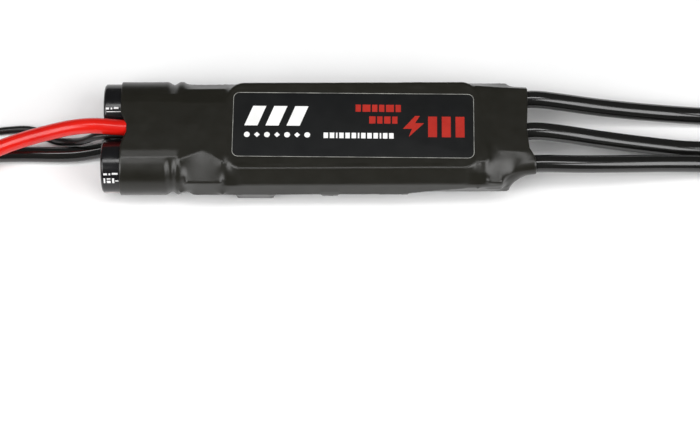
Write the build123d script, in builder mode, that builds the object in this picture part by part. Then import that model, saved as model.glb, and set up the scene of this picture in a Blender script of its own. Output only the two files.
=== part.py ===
from build123d import *
import math
import os

# Inline electronic speed controller for a brushless motor: a circuit board and a heat sink in one
# heat-shrink sleeve, with two capacitors at the battery end and three motor leads at the other.
# Millimetres. +X runs from the battery end to the motor end, +Y to the back, +Z up. The origin is
# on the surface that it lies on, under the middle of the body without its leads.

# Sleeve
SLEEVE_WALL = 0.4
MOUTH_BATTERY = -36.7
MOUTH_MOTOR = 40.6

# Capacitors, lying side by side with their closed ends out of the sleeve
JACKET_RADIUS = 5.15
JACKET_WALL = 0.15
CAPACITOR_LENGTH = 16.0
CAPACITOR_Y = {"front": -5.65, "rear": 5.95}
CAPACITOR_Z = 5.65
CLOSED_END = {"front": -40.7, "rear": -40.5}
GROOVE_AT = 13.3
GROOVE_DEPTH = 0.55
CAN_WALL = 0.35
CAPACITOR_LEAD_RADIUS = 0.3
CAPACITOR_LEAD_PITCH = 5.0

# Circuit board
BOARD_START = -21.6
BOARD_END = 36.4
BOARD_WIDTH = 19.7
BOARD_BOTTOM = 3.6
BOARD_TOP = 5.2
PAD_THICKNESS = 0.1

# Power transistors and what carries their heat away
MOSFET = (5.0, 6.0, 1.0)
MOSFET_COLUMNS = (8.0, 16.0, 24.0)
MOSFET_Y = 4.6
HEAT_PAD = (26.0, 16.4)
HEAT_PAD_X = 16.0
SINK_START = -16.4
SINK_END = 30.4
SINK_WIDTH = 17.4
SINK_BOTTOM = 7.4
SINK_TOP = 11.0

# Label
LABEL = (45.8, 13.5, 0.1)
LABEL_X = 7.1
LABEL_TURN = -0.8
LABEL_BOTTOM = 11.45

# Chip capacitor at the front edge, which the sleeve bulges over
EDGE_CHIP = (5.7, 5.0, 2.4)
EDGE_CHIP_CENTRE = (-11.6, -7.15, 2.4)

# Leads: diameters over the insulation and of the bare wire
BATTERY_LEAD = 3.0
BATTERY_WIRE = 1.7
MOTOR_LEAD = 3.4
MOTOR_WIRE = 2.0
MOTOR_LEAD_PITCH = 6.8
SIGNAL_LEAD = 1.5
SIGNAL_CORE = 0.6
STRIPPED = 6.0
ARC_SHARE = 0.45

# Hank of the signal lead, its tie and its plug
HANK = (37.6, 12.1, 3.0)
HANK_CENTRE = (-89.3, 6.35)
HANK_WAIST = 4.5
TIE_WIDTH = 2.6
TIE_WALL = 0.4
TIE_HEAD = (3.8, 3.4, 1.6)
PLUG = (14.0, 7.6, 2.6)
PLUG_REAR = -117.6
PLUG_Y = 3.0
PLUG_PITCH = 2.54

# Routes of the leads, from inside the body outwards
ROUTES = {
    "battery_lead_red": [
        (-22.4, 0.3, 9.8), (-29.0, 0.3, 9.8), (-36.2, 0.33, 9.84), (-43.8, 0.45, 11.4),
        (-53.2, -0.2, 8.1), (-62.0, -1.9, 5.2), (-70.5, -5.8, 1.5), (-83.0, -7.0, 1.5),
        (-99.0, -6.2, 1.5), (-115.0, -7.0, 1.5), (-129.0, -7.0, 1.5),
    ],
    "battery_lead_black": [
        (-22.4, 0.0, 1.95), (-30.0, 0.1, 1.9), (-39.0, 0.05, 1.95), (-43.4, -0.8, 1.5),
        (-48.2, -1.45, 1.5), (-58.0, -1.1, 1.5), (-72.0, -1.7, 1.5), (-88.0, -2.8, 1.5),
        (-105.0, -2.3, 1.5), (-121.0, -3.0, 1.5), (-134.0, -3.0, 1.5),
    ],
    "signal_lead": [
        (-23.0, 0.0, 7.48), (-29.0, 0.0, 7.48), (-35.5, 0.02, 7.5), (-41.7, 0.0, 7.55),
        (-44.8, 0.2, 4.3), (-47.8, 1.2, 1.8), (-51.4, 1.9, 0.75), (-54.8, 4.6, 0.75),
        (-61.0, 4.2, 0.75), (-65.4, 3.4, 0.75), (-68.0, 2.55, 0.75), (-70.5, 2.55, 0.75),
    ],
    "motor_lead_a": [
        (34.6, 6.8, 7.4), (37.6, 6.8, 7.4), (41.5, 7.25, 7.8), (47.3, 6.95, 6.7),
        (54.0, 6.6, 5.2), (62.5, 6.35, 3.6), (73.5, 6.3, 1.7), (88.0, 5.4, 1.7),
        (103.0, 5.6, 1.7), (117.0, 5.6, 1.7),
    ],
    "motor_lead_b": [
        (34.6, 0.0, 7.4), (37.6, 0.0, 7.4), (41.5, 0.55, 7.8), (47.3, 0.25, 6.8),
        (54.0, -0.2, 5.2), (62.5, -0.7, 3.6), (73.5, -1.2, 1.7), (88.0, -0.6, 1.7),
        (104.0, -1.1, 1.7), (119.0, -1.1, 1.7),
    ],
    "motor_lead_c": [
        (34.6, -6.8, 7.4), (37.6, -6.8, 7.4), (42.0, -6.4, 7.9), (49.0, -6.4, 7.3),
        (57.5, -5.9, 6.2), (66.5, -5.15, 4.8), (76.5, -4.6, 3.3), (88.5, -5.6, 1.7),
        (101.0, -6.6, 1.7), (115.0, -6.6, 1.7),
    ],
}
LEAD_DIAMETER = {
    "battery_lead_red": BATTERY_LEAD,
    "battery_lead_black": BATTERY_LEAD,
    "signal_lead": SIGNAL_LEAD,
    "motor_lead_a": MOTOR_LEAD,
    "motor_lead_b": MOTOR_LEAD,
    "motor_lead_c": MOTOR_LEAD,
}

# Cross-sections of the sleeve: X, then half widths and heights from the underside up
SLEEVE_SECTIONS = [
    (MOUTH_BATTERY, 8.4, 0.0, 11.6, 3.3, 8.3, 7.6, 12.0, 2.2),
    (-24.4, 8.4, 0.0, 11.6, 3.3, 8.3, 7.6, 12.0, 2.2),
    (-16.9, 8.2, 0.0, 10.4, 2.7, 6.1, 9.2, 11.45, 0.9),
    (30.8, 8.2, 0.0, 10.4, 2.7, 6.1, 9.2, 11.45, 0.9),
    (34.9, 8.0, 0.0, 10.35, 2.7, 6.1, 8.3, 10.0, 0.9),
    (37.0, 8.0, 0.0, 10.3, 2.7, 6.6, 8.3, 10.2, 0.9),
    (MOUTH_MOTOR, 7.4, 2.4, 10.0, 4.4, 8.2, 8.4, 10.4, 0.9),
]

os.makedirs("parts", exist_ok=True)


def cross_plane(x):
    """Plane across the body at x, with its own X along +Y and its own Y along +Z."""
    return Plane(origin=(x, 0, 0), x_dir=(0, 1, 0), z_dir=(1, 0, 0))


def bend_radii(points):
    """Arc radius at each inner point of a route, as large as the two runs beside it allow."""
    radii = []
    for before, corner, after in zip(points, points[1:], points[2:]):
        run_in = Vector(*corner) - Vector(*before)
        run_out = Vector(*after) - Vector(*corner)
        half_turn = math.radians(run_in.get_angle(run_out)) / 2
        radii.append(ARC_SHARE * min(run_in.length, run_out.length) / math.tan(half_turn))
    return radii


def sleeve_section(section, inset):
    """One closed cross-section of the sleeve, drawn smaller by inset all round."""
    x, half_low, low, half_wide, wide_from, wide_to, half_top, top, corner = section
    right = [(half_low, low), (half_wide, wide_from), (half_wide, wide_to), (half_top, top)]
    left = [(-y, z) for y, z in reversed(right)]
    with BuildSketch(cross_plane(x)) as sketch:
        with BuildLine():
            Polyline(*right, *left, close=True)
        make_face()
        fillet(sketch.vertices(), corner)
        if inset:
            offset(amount=-inset, mode=Mode.REPLACE)
    return sketch.sketch


# Heat-shrink sleeve: open at both ends, with a blister over the edge chip
edge_x, edge_y, edge_z = EDGE_CHIP_CENTRE
outer_sections = [sleeve_section(section, 0) for section in SLEEVE_SECTIONS]
inner_sections = [sleeve_section(section, SLEEVE_WALL) for section in SLEEVE_SECTIONS]
with BuildPart() as heat_shrink_sleeve:
    loft(outer_sections, ruled=True)
    with Locations((edge_x, edge_y, edge_z)):
        Box(EDGE_CHIP[0] + 1.0, EDGE_CHIP[1] + 1.0, EDGE_CHIP[2] + 1.0)
    loft(inner_sections, ruled=True, mode=Mode.SUBTRACT)
    with Locations((edge_x, edge_y, edge_z)):
        Box(EDGE_CHIP[0] + 0.2, EDGE_CHIP[1] + 0.2, EDGE_CHIP[2] + 0.2, mode=Mode.SUBTRACT)
heat_shrink_sleeve.part.label = "heat_shrink_sleeve"
export_step(heat_shrink_sleeve.part, "parts/heat_shrink_sleeve.step")

# Label, stuck on the flat of the sleeve over the heat sink
with BuildPart() as label_sticker:
    with BuildSketch(Plane.XY.offset(LABEL_BOTTOM)):
        with Locations(Location((LABEL_X, 0, 0), (0, 0, LABEL_TURN))):
            RectangleRounded(LABEL[0], LABEL[1], 1.2)
    extrude(amount=LABEL[2])
label_sticker.part.label = "label_sticker"
export_step(label_sticker.part, "parts/label_sticker.step")

# Heat sink: an aluminium plate with a relief over the controller chip
sink_length = SINK_END - SINK_START
sink_x = (SINK_START + SINK_END) / 2
with BuildPart() as heat_sink_plate:
    with BuildSketch(Plane.XY.offset(SINK_BOTTOM)):
        with Locations((sink_x, 0)):
            RectangleRounded(sink_length, SINK_WIDTH, 2.8)
    extrude(amount=SINK_TOP - SINK_BOTTOM)
    fillet(heat_sink_plate.faces().sort_by(Axis.Z)[-1].edges(), 0.5)
    chamfer(heat_sink_plate.faces().sort_by(Axis.Z)[0].edges(), 0.2)
    with BuildSketch(Plane.XY.offset(SINK_BOTTOM)):
        with Locations((-8.0, 0)):
            RectangleRounded(10.0, 12.0, 1.5)
    extrude(amount=0.8, mode=Mode.SUBTRACT)
heat_sink_plate.part.label = "heat_sink_plate"
export_step(heat_sink_plate.part, "parts/heat_sink_plate.step")

# Soft pads above and below the power transistors
with BuildPart() as thermal_pad:
    with BuildSketch(Plane.XY.offset(BOARD_TOP + MOSFET[2])):
        with Locations((HEAT_PAD_X, 0)):
            RectangleRounded(HEAT_PAD[0], HEAT_PAD[1], 0.8)
    extrude(amount=SINK_BOTTOM - BOARD_TOP - MOSFET[2])
thermal_pad.part.label = "thermal_pad"
export_step(thermal_pad.part, "parts/thermal_pad.step")

with BuildPart() as insulating_pad:
    with BuildSketch(Plane.XY.offset(SLEEVE_WALL)):
        with Locations((HEAT_PAD_X, 0)):
            RectangleRounded(HEAT_PAD[0], HEAT_PAD[1] - 1.6, 0.8)
    extrude(amount=BOARD_BOTTOM - MOSFET[2] - SLEEVE_WALL)
insulating_pad.part.label = "insulating_pad"
export_step(insulating_pad.part, "parts/insulating_pad.step")

# Circuit board
with BuildPart() as circuit_board:
    with BuildSketch(Plane.XY.offset(BOARD_BOTTOM)):
        with Locations(((BOARD_START + BOARD_END) / 2, 0)):
            RectangleRounded(BOARD_END - BOARD_START, BOARD_WIDTH, 0.8)
    extrude(amount=BOARD_TOP - BOARD_BOTTOM)
circuit_board.part.label = "circuit_board"
export_step(circuit_board.part, "parts/circuit_board.step")

# Copper pads that the leads are soldered to, above and below the board
capacitor_pad_y = [
    centre_y + sign * CAPACITOR_LEAD_PITCH / 2 for centre_y in CAPACITOR_Y.values() for sign in (-1, 1)
]
motor_y = (-MOTOR_LEAD_PITCH, 0, MOTOR_LEAD_PITCH)
with BuildPart() as copper_pads:
    with BuildSketch(Plane.XY.offset(BOARD_TOP)):
        with Locations(*[(-19.8, y) for y in capacitor_pad_y]):
            Rectangle(2.8, 2.2)
        with Locations(*[(33.6, y) for y in motor_y]):
            Rectangle(4.8, 4.6)
        with Locations((-18.0, 0.3)):
            Rectangle(2.6, 3.0)
        with Locations((-20.5, -1.2), (-20.5, 1.2)):
            Rectangle(1.4, 1.2)
    extrude(amount=PAD_THICKNESS)
    with BuildSketch(Plane.XY.offset(BOARD_BOTTOM - PAD_THICKNESS)):
        with Locations((-18.6, 0)):
            Rectangle(4.4, 5.0)
    extrude(amount=PAD_THICKNESS)
copper_pads.part.label = "copper_pads"
export_step(copper_pads.part, "parts/copper_pads.step")

# Power transistors, six on each face of the board
mosfet_spots = [(x, y) for x in MOSFET_COLUMNS for y in (-MOSFET_Y, MOSFET_Y)]
for node, base, height in (
    ("power_mosfets_upper", BOARD_TOP, MOSFET[2]),
    ("power_mosfets_lower", BOARD_BOTTOM, -MOSFET[2]),
):
    with BuildPart() as power_mosfets:
        with BuildSketch(Plane.XY.offset(base)):
            with Locations(*mosfet_spots):
                Rectangle(MOSFET[0], MOSFET[1])
        extrude(amount=height)
        outer_faces = power_mosfets.faces().group_by(Axis.Z)[-1 if height > 0 else 0]
        chamfer(outer_faces.edges(), 0.1)
    power_mosfets.part.label = node
    export_step(power_mosfets.part, f"parts/{node}.step")

# Chips on top of the board, under the clear part of the heat sink
with BuildPart() as microcontroller:
    with BuildSketch(Plane.XY.offset(BOARD_TOP + 0.1)):
        with Locations((-8.0, 0)):
            RectangleRounded(7.0, 7.0, 0.3)
    extrude(amount=1.4)
    with BuildSketch(Plane.XY.offset(BOARD_TOP + 1.5)):
        with Locations((-10.6, 2.6)):
            Circle(0.4)
    extrude(amount=-0.1, mode=Mode.SUBTRACT)
microcontroller.part.label = "microcontroller"
export_step(microcontroller.part, "parts/microcontroller.step")

with BuildPart() as microcontroller_pins:
    with BuildSketch(Plane.XY.offset(BOARD_TOP)):
        with Locations((-8.0, 0)):
            with GridLocations(8.0, 0.8, 2, 8):
                Rectangle(1.0, 0.36)
            with GridLocations(0.8, 8.0, 8, 2):
                Rectangle(0.36, 1.0)
    extrude(amount=0.7)
microcontroller_pins.part.label = "microcontroller_pins"
export_step(microcontroller_pins.part, "parts/microcontroller_pins.step")

with BuildPart() as gate_drivers:
    with BuildSketch(Plane.XY.offset(BOARD_TOP)):
        with Locations((0.4, -6.0), (0.4, 0), (0.4, 6.0)):
            RectangleRounded(4.0, 4.0, 0.2)
    extrude(amount=0.9)
gate_drivers.part.label = "gate_drivers"
export_step(gate_drivers.part, "parts/gate_drivers.step")

# Parts under the board
with BuildPart() as voltage_regulator:
    with BuildSketch(Plane.XY.offset(BOARD_BOTTOM)):
        with Locations((-11.5, 5.5)):
            RectangleRounded(4.5, 2.5, 0.2)
    extrude(amount=-1.5)
voltage_regulator.part.label = "voltage_regulator"
export_step(voltage_regulator.part, "parts/voltage_regulator.step")

with BuildPart() as current_shunt:
    with BuildSketch(Plane.XY.offset(BOARD_BOTTOM)):
        with Locations((1.2, 0)):
            RectangleRounded(3.2, 6.3, 0.2)
    extrude(amount=-0.7)
current_shunt.part.label = "current_shunt"
export_step(current_shunt.part, "parts/current_shunt.step")

with BuildPart() as edge_chip_capacitor:
    with Locations(EDGE_CHIP_CENTRE):
        Box(*EDGE_CHIP)
    chamfer(edge_chip_capacitor.edges().filter_by(Axis.X), 0.2)
edge_chip_capacitor.part.label = "edge_chip_capacitor"
export_step(edge_chip_capacitor.part, "parts/edge_chip_capacitor.step")

with BuildPart() as ceramic_capacitors:
    with BuildSketch(Plane.XY.offset(BOARD_BOTTOM)):
        with Locations((-5.2, 0), (-11.5, 0.8)):
            with GridLocations(3.0, 3.2, 2, 2):
                Rectangle(2.0, 1.25)
        with Locations((-3.5, 6.5), (-3.5, -6.5)):
            Rectangle(3.2, 2.5)
    extrude(amount=-1.2)
ceramic_capacitors.part.label = "ceramic_capacitors"
export_step(ceramic_capacitors.part, "parts/ceramic_capacitors.step")

with BuildPart() as chip_resistors:
    with BuildSketch(Plane.XY.offset(BOARD_TOP)):
        with Locations((-14.6, 0)):
            with GridLocations(1.0, 2.2, 1, 7):
                Rectangle(0.8, 1.6)
        with Locations((4.0, -6.0), (4.0, 0), (4.0, 6.0)):
            with GridLocations(1.0, 2.2, 1, 2):
                Rectangle(0.8, 1.6)
    extrude(amount=0.5)
chip_resistors.part.label = "chip_resistors"
export_step(chip_resistors.part, "parts/chip_resistors.step")


def capacitor_outline(plane, radius, start, end):
    """Half profile of a capacitor's can or jacket, with the crimp groove near its open end."""
    with BuildSketch(plane) as sketch:
        with BuildLine():
            Polyline(
                (start, 0), (start, radius), (GROOVE_AT - 0.8, radius),
                (GROOVE_AT, radius - GROOVE_DEPTH), (GROOVE_AT + 0.8, radius),
                (end, radius), (end, 0), close=True,
            )
        make_face()
        fillet(sketch.vertices().group_by(Axis.Y)[-1], 0.4)
    return sketch.sketch


# Capacitors: jacket, can, rubber bung, winding and wires, one set each
can_radius = JACKET_RADIUS - JACKET_WALL
cavity_radius = can_radius - CAN_WALL
for side_name, closed_end in CLOSED_END.items():
    centre_y = CAPACITOR_Y[side_name]
    start = (closed_end, centre_y, CAPACITOR_Z)
    plane = Plane(origin=start, x_dir=(1, 0, 0), z_dir=(0, -1, 0))
    axis = Axis(start, (1, 0, 0))
    wire_spots = [(-CAPACITOR_LEAD_PITCH / 2, 0), (CAPACITOR_LEAD_PITCH / 2, 0)]
    end_planes = {
        depth: Plane(
            origin=(closed_end + depth, centre_y, CAPACITOR_Z), x_dir=(0, 1, 0), z_dir=(1, 0, 0)
        )
        for depth in (0, 12.0, 12.55, CAPACITOR_LENGTH)
    }

    jacket_outline = capacitor_outline(plane, JACKET_RADIUS, 0, CAPACITOR_LENGTH)
    can_outline = capacitor_outline(plane, can_radius, JACKET_WALL, CAPACITOR_LENGTH - JACKET_WALL)

    with BuildPart() as capacitor_jacket:
        revolve(jacket_outline, axis=axis)
        revolve(can_outline, axis=axis, mode=Mode.SUBTRACT)
        for depth, reach in ((0, 1), (CAPACITOR_LENGTH, -1)):
            with BuildSketch(end_planes[depth]):
                Circle(4.0)
            extrude(amount=reach, mode=Mode.SUBTRACT)
    capacitor_jacket.part.label = f"capacitor_jacket_{side_name}"
    export_step(capacitor_jacket.part, f"parts/capacitor_jacket_{side_name}.step")

    with BuildPart() as capacitor_can:
        revolve(can_outline, axis=axis)
        with BuildSketch(plane):
            with BuildLine():
                Polyline(
                    (0.5, 0), (0.5, cavity_radius), (GROOVE_AT - 1, cavity_radius),
                    (GROOVE_AT, cavity_radius - GROOVE_DEPTH), (GROOVE_AT + 1, cavity_radius),
                    (15.5, cavity_radius), (15.5, 4.1), (16.5, 4.1), (16.5, 0), close=True,
                )
            make_face()
        revolve(axis=axis, mode=Mode.SUBTRACT)
    capacitor_can.part.label = f"capacitor_can_{side_name}"
    export_step(capacitor_can.part, f"parts/capacitor_can_{side_name}.step")

    with BuildPart() as capacitor_bung:
        with BuildSketch(plane):
            with BuildLine():
                Polyline(
                    (12.55, 0), (12.55, 4.4), (GROOVE_AT, 4.02), (GROOVE_AT + 1, 4.6),
                    (15.45, 4.6), (15.45, 0), close=True,
                )
            make_face()
        revolve(axis=axis)
        with BuildSketch(end_planes[12.55]):
            with Locations(*wire_spots):
                Circle(CAPACITOR_LEAD_RADIUS + 0.02)
        extrude(amount=4, mode=Mode.SUBTRACT)
    capacitor_bung.part.label = f"capacitor_bung_{side_name}"
    export_step(capacitor_bung.part, f"parts/capacitor_bung_{side_name}.step")

    with BuildPart() as capacitor_winding:
        with BuildSketch(plane):
            with BuildLine():
                Polyline((0.6, 0), (0.6, 4.5), (12.0, 4.5), (12.0, 0), close=True)
            make_face()
        revolve(axis=axis)
    capacitor_winding.part.label = f"capacitor_winding_{side_name}"
    export_step(capacitor_winding.part, f"parts/capacitor_winding_{side_name}.step")

    with BuildPart() as capacitor_wires:
        with BuildSketch(end_planes[12.0]):
            with Locations(*wire_spots):
                Circle(CAPACITOR_LEAD_RADIUS)
        extrude(amount=-18.9 - closed_end - 12.0)
    capacitor_wires.part.label = f"capacitor_wires_{side_name}"
    export_step(capacitor_wires.part, f"parts/capacitor_wires_{side_name}.step")

# Leads: a plain tube along each route
for node, points in ROUTES.items():
    radii = bend_radii(points)
    with BuildPart() as lead:
        with BuildLine():
            route = FilletPolyline(*points, radius=radii)
        with BuildSketch(Plane(origin=route @ 0, z_dir=route % 0)):
            Circle(LEAD_DIAMETER[node] / 2)
        sweep()
        if node == "signal_lead":
            hank_end = HANK_CENTRE[0] - HANK[0] / 2
            with BuildSketch(cross_plane(hank_end)):
                with Locations((PLUG_Y, PLUG[2] / 2)):
                    Circle(SIGNAL_LEAD / 2)
            extrude(amount=-5.0)
    lead.part.label = node
    export_step(lead.part, f"parts/{node}.step")
    tube_volume = math.pi * LEAD_DIAMETER[node] ** 2 / 4 * route.length
    print(node, "length", round(route.length, 1), "mm, bend radii", [round(r, 1) for r in radii])
    print("   volume", round(lead.part.volume, 1), "section times length", round(tube_volume, 1))

# Tinned ends of the battery and motor leads
for node, names, wire, way in (
    ("battery_lead_tips", ("battery_lead_red", "battery_lead_black"), BATTERY_WIRE, -1),
    ("motor_lead_tips", ("motor_lead_a", "motor_lead_b", "motor_lead_c"), MOTOR_WIRE, 1),
):
    with BuildPart() as lead_tips:
        for lead_name in names:
            end_x, end_y, end_z = ROUTES[lead_name][-1]
            with BuildSketch(cross_plane(end_x)):
                with Locations((end_y, end_z)):
                    Circle(wire / 2)
            extrude(amount=way * STRIPPED)
    lead_tips.part.label = node
    export_step(lead_tips.part, f"parts/{node}.step")


# Bare wires inside the body, from each lead's start to its pad
BARE_WIRES = {
    "battery_lead_conductors": [
        [(-22.4, 0.3, 9.8), (-20.6, 0.3, 9.8), (-19.0, 0.3, 6.2), (-16.9, 0.3, 6.2)],
        [(-22.4, 0.0, 1.95), (-20.6, 0.0, 1.95), (-19.0, 0.0, 2.6), (-17.0, 0.0, 2.6)],
    ],
    "signal_lead_cores": [
        [(-23.0, y, 7.48), (-22.2, y, 7.48), (-21.1, 3.3 * y, 5.65), (-19.9, 3.3 * y, 5.65)]
        for y in (-0.37, 0.37)
    ],
}
BARE_RADIUS = {"battery_lead_conductors": BATTERY_WIRE / 2, "signal_lead_cores": SIGNAL_CORE / 2}
for node, paths in BARE_WIRES.items():
    with BuildPart() as bare_wires:
        for path in paths:
            with BuildLine():
                wire_route = FilletPolyline(*path, radius=bend_radii(path))
            with BuildSketch(Plane(origin=wire_route @ 0, z_dir=wire_route % 0)):
                Circle(BARE_RADIUS[node])
            sweep()
    bare_wires.part.label = node
    export_step(bare_wires.part, f"parts/{node}.step")

motor_start_x, _, motor_start_z = ROUTES["motor_lead_a"][0]
with BuildPart() as motor_lead_conductors:
    with BuildSketch(cross_plane(motor_start_x)):
        with Locations(*[(y, motor_start_z) for y in motor_y]):
            Circle(MOTOR_WIRE / 2)
    extrude(amount=-3.2)
motor_lead_conductors.part.label = "motor_lead_conductors"
export_step(motor_lead_conductors.part, "parts/motor_lead_conductors.step")

# Solder: a mound on each pad, with the wire's own channel left open in it
SOLDER = [
    ((32.9, y), (2.8, 3.4), 1.9, (y, motor_start_z, MOTOR_WIRE / 2)) for y in motor_y
] + [
    ((-20.0, y), (1.6, 1.6), 0.7, (y, CAPACITOR_Z, CAPACITOR_LEAD_RADIUS)) for y in capacitor_pad_y
] + [
    ((-17.8, 0.3), (1.7, 2.6), 0.9, (0.3, 6.2, BATTERY_WIRE / 2)),
]
with BuildPart() as solder_joints:
    for spot, foot, height, _ in SOLDER:
        with BuildSketch(Plane.XY.offset(BOARD_TOP + PAD_THICKNESS)):
            with Locations(spot):
                RectangleRounded(*foot, 0.3)
        extrude(amount=height)
    with BuildSketch(Plane.XY.offset(BOARD_BOTTOM - PAD_THICKNESS)):
        with Locations((-17.9, 0)):
            RectangleRounded(1.7, 2.8, 0.3)
    extrude(amount=-0.9)
    for spot, foot, _, channel in SOLDER + [((-17.9, 0), (1.7, 2.8), 0, (0, 2.6, BATTERY_WIRE / 2))]:
        y, z, radius = channel
        with BuildSketch(cross_plane(spot[0] - foot[0])):
            with Locations((y, z)):
                Circle(radius + 0.03)
        extrude(amount=2 * foot[0], mode=Mode.SUBTRACT)
solder_joints.part.label = "solder_joints"
export_step(solder_joints.part, "parts/solder_joints.step")

# Hank of the signal lead, drawn in at the middle where its tie goes round it
hank_x, hank_y = HANK_CENTRE
half_hank, half_tie = HANK[0] / 2, TIE_WIDTH / 2
waist_z = TIE_WALL + HANK[2] / 2
with BuildPart() as signal_lead_hank:
    with BuildSketch(Plane.XY):
        for way in (-1, 1):
            with BuildLine():
                Polyline(
                    (hank_x + way * half_tie, hank_y - HANK_WAIST / 2),
                    (hank_x + way * half_hank / 2, hank_y - HANK[1] / 2),
                    (hank_x + way * half_hank, hank_y - HANK[1] / 2),
                    (hank_x + way * half_hank, hank_y + HANK[1] / 2),
                    (hank_x + way * half_hank / 2, hank_y + HANK[1] / 2),
                    (hank_x + way * half_tie, hank_y + HANK_WAIST / 2),
                    close=True,
                )
            make_face()
    extrude(amount=HANK[2])
    with Locations((hank_x, hank_y, waist_z)):
        Box(TIE_WIDTH, HANK_WAIST, HANK[2])
signal_lead_hank.part.label = "signal_lead_hank"
export_step(signal_lead_hank.part, "parts/signal_lead_hank.step")

with BuildPart() as hank_tie:
    with Locations((hank_x, hank_y, waist_z)):
        Box(TIE_WIDTH, HANK_WAIST + 2 * TIE_WALL, HANK[2] + 2 * TIE_WALL)
        Box(TIE_WIDTH, HANK_WAIST, HANK[2], mode=Mode.SUBTRACT)
    with Locations((hank_x, hank_y, HANK[2] + 2 * TIE_WALL + TIE_HEAD[2] / 2)):
        Box(*TIE_HEAD)
hank_tie.part.label = "hank_tie"
export_step(hank_tie.part, "parts/hank_tie.step")

# Plug on the signal lead: a flat three-way housing, its contacts and the two cores that enter it
plug_z = PLUG[2] / 2
plug_x = PLUG_REAR - PLUG[0] / 2
contact_y = [PLUG_Y + n * PLUG_PITCH for n in (-1, 0, 1)]
with BuildPart() as signal_plug_housing:
    with Locations((plug_x, PLUG_Y, plug_z)):
        Box(*PLUG)
    chamfer(signal_plug_housing.edges().filter_by(Axis.X).group_by(Axis.Y)[0], 0.5)
    chamfer(signal_plug_housing.edges().filter_by(Axis.X).group_by(Axis.Y)[-1], 0.2)
    with BuildSketch(cross_plane(PLUG_REAR)):
        with Locations(*[(y, plug_z) for y in contact_y]):
            Rectangle(1.6, 1.6)
    extrude(amount=-11.5, mode=Mode.SUBTRACT)
    with BuildSketch(cross_plane(PLUG_REAR - PLUG[0])):
        with Locations(*[(y, plug_z) for y in contact_y]):
            Rectangle(0.9, 0.9)
    extrude(amount=3, mode=Mode.SUBTRACT)
    with BuildSketch(Plane.XY.offset(PLUG[2])):
        with Locations(*[(PLUG_REAR - 6.5, y) for y in contact_y]):
            Rectangle(2.4, 1.3)
    extrude(amount=-0.6, mode=Mode.SUBTRACT)
signal_plug_housing.part.label = "signal_plug_housing"
export_step(signal_plug_housing.part, "parts/signal_plug_housing.step")

with BuildPart() as signal_plug_contacts:
    with BuildSketch(cross_plane(PLUG_REAR - 3.0)):
        with Locations(*[(y, plug_z) for y in contact_y]):
            Rectangle(1.4, 1.4)
            Rectangle(1.0, 1.0, mode=Mode.SUBTRACT)
    extrude(amount=-8.0)
signal_plug_contacts.part.label = "signal_plug_contacts"
export_step(signal_plug_contacts.part, "parts/signal_plug_contacts.step")

with BuildPart() as signal_plug_cores:
    for side in (-1, 1):
        core_y = PLUG_Y + side * PLUG_PITCH / 2
        core_path = [
            (hank_x - HANK[0] / 2 - 5.0, PLUG_Y + 0.37 * side, plug_z),
            (hank_x - HANK[0] / 2 - 6.6, PLUG_Y + 0.37 * side, plug_z + 0.01),
            (hank_x - HANK[0] / 2 - 8.4, PLUG_Y + PLUG_PITCH * (0.5 + 0.5 * side), plug_z),
            (PLUG_REAR - 2.8, PLUG_Y + PLUG_PITCH * (0.5 + 0.5 * side), plug_z),
        ]
        with BuildLine():
            core_route = FilletPolyline(*core_path, radius=bend_radii(core_path))
        with BuildSketch(Plane(origin=core_route @ 0, z_dir=core_route % 0)):
            Circle(SIGNAL_CORE / 2)
        sweep()
signal_plug_cores.part.label = "signal_plug_cores"
export_step(signal_plug_cores.part, "parts/signal_plug_cores.step")
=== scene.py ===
import math

import bpy
import numpy as np
from mathutils import Matrix, Vector, noise


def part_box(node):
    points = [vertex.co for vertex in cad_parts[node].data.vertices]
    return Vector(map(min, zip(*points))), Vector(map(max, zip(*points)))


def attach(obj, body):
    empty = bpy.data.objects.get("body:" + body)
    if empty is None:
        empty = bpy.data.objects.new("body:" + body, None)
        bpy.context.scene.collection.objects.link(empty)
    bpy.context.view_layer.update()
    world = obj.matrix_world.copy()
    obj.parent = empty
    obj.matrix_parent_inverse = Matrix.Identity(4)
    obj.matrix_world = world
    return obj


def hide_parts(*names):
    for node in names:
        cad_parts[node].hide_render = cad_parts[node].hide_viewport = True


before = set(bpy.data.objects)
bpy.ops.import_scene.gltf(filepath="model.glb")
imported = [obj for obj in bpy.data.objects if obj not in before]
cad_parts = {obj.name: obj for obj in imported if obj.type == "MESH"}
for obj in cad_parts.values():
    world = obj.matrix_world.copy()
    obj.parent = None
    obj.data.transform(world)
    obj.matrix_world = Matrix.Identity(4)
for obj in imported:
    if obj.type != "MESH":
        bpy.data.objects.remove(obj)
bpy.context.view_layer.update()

MM = 0.001
scene = bpy.context.scene


# ---------------------------------------------------------------- materials
def srgb(red, green, blue):
    """Linear colour of a screen colour given in 0 to 255."""
    return tuple(
        c / 12.92 if c <= 0.04045 else ((c + 0.055) / 1.055) ** 2.4
        for c in (red / 255, green / 255, blue / 255)
    ) + (1.0,)


def noise_node(tree, coordinates, grain, detail, stretch):
    """Output of a noise texture with patches of the given size in metres."""
    mapping = tree.nodes.new("ShaderNodeMapping")
    mapping.inputs["Scale"].default_value = stretch
    texture = tree.nodes.new("ShaderNodeTexNoise")
    texture.inputs["Scale"].default_value = 1 / grain
    texture.inputs["Detail"].default_value = detail
    tree.links.new(coordinates, mapping.inputs["Vector"])
    tree.links.new(mapping.outputs["Vector"], texture.inputs["Vector"])
    return texture.outputs["Fac"]


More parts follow.
